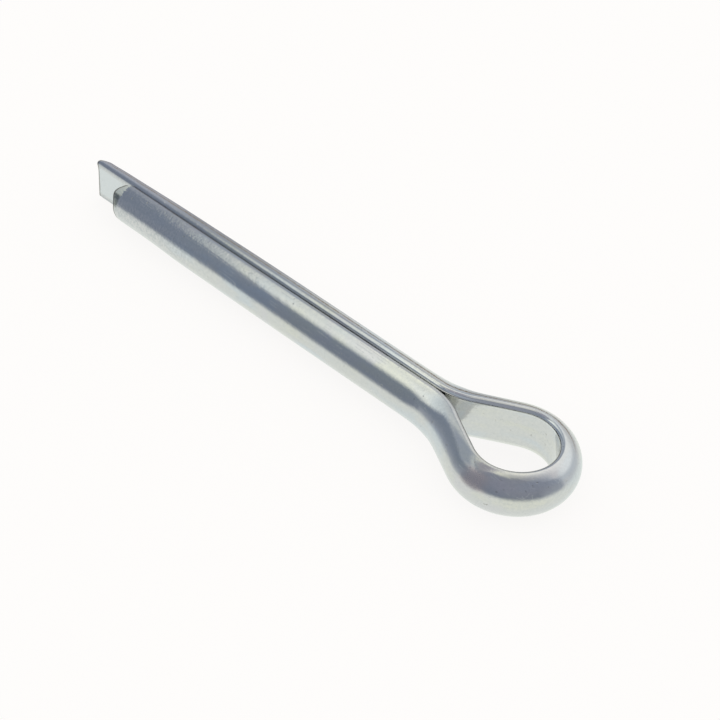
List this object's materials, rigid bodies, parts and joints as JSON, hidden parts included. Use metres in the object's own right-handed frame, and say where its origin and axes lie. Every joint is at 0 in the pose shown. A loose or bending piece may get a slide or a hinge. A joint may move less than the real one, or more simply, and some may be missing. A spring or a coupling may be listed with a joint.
{
  "type": "cotter pin",
  "caption": "Zinc-plated cotter pin bent from a length of half-round wire, with a teardrop eye and legs of unequal length.",
  "frame": {"origin": "on the shank's axis, where the two legs start to part towards the eye", "axes": "+X along the shank towards the leg ends, Y across the eye with the long leg on the -Y side, +Z along the axis of the eye, which points up as the pin lies"},
  "size_m": [0.0558, 0.011, 0.0042],
  "materials": {
    "zinc_plate": "bright zinc plate on drawn steel wire"
  },
  "bodies": {
    "root": {"cotter_pin": "zinc_plate"}
  },
  "joints": []
}
